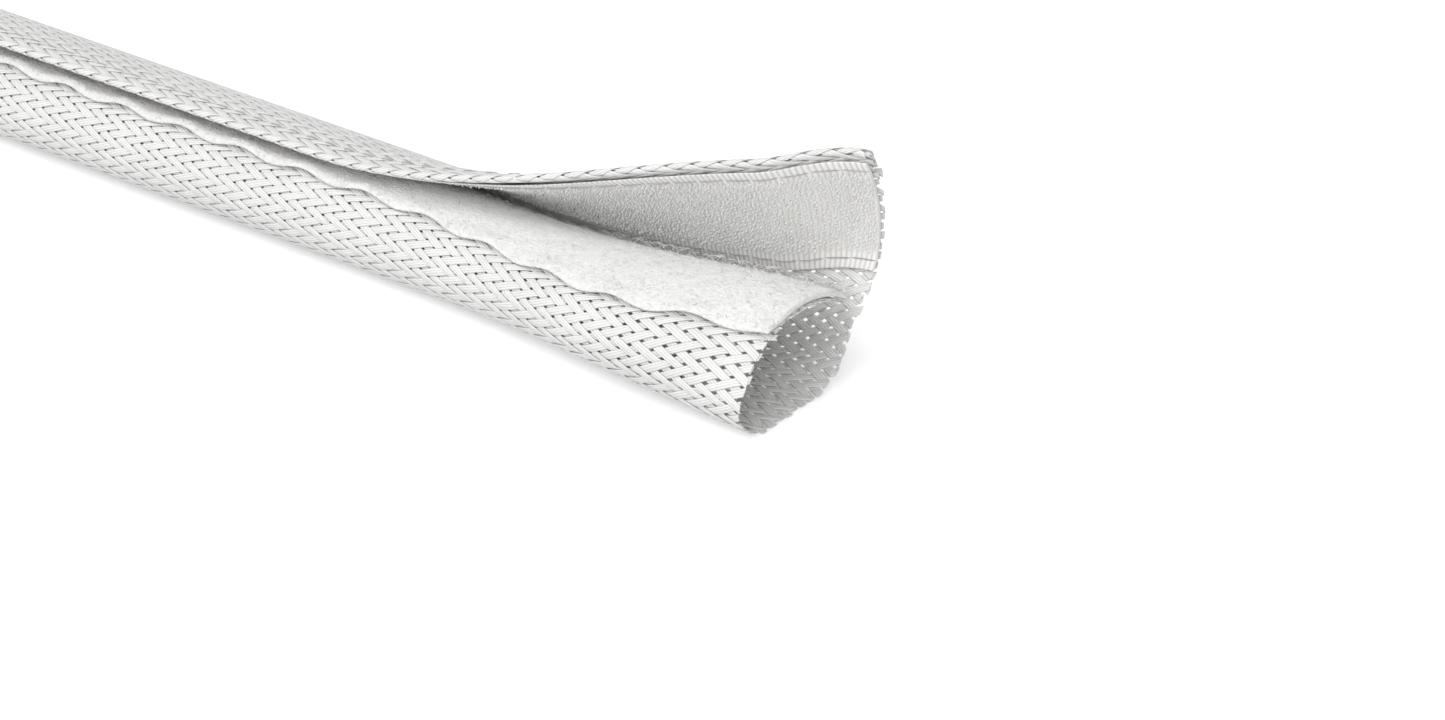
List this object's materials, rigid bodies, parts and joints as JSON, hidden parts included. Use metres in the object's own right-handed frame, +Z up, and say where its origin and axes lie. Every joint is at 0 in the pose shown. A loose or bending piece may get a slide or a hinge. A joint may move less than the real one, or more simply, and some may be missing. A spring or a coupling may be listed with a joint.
{
  "type": "hook and loop cable sleeve",
  "caption": "Flat braided cloth rolled into a cable sleeve, closed lengthwise by overlapping hook and loop tapes and peeled open at its cut end.",
  "frame": {"origin": "middle of the flat strip that the tube lies on, halfway along its length", "axes": "+X along the sleeve towards the end whose flaps are parted, +Z up; the loop tape is on the -Y flap and the hook tape on the +Y flap"},
  "size_m": [0.25, 0.037, 0.0359],
  "materials": {
    "braid": "woven flat ribbons of fine light grey filaments, slight sheen",
    "loop_pile": "soft matt white loop pile on a woven ground",
    "hook_pile": "ribbed light grey ground with small glossy hooks",
    "thread": "fine light grey sewing thread"
  },
  "bodies": {
    "root": {"braided_sleeve": "braid", "loop_tape": "loop_pile", "hook_tape": "hook_pile", "loop_tape_lip_seam": "thread", "loop_tape_edge_seam": "thread", "hook_tape_lower_seam": "thread", "hook_tape_upper_seam": "thread"}
  },
  "joints": []
}
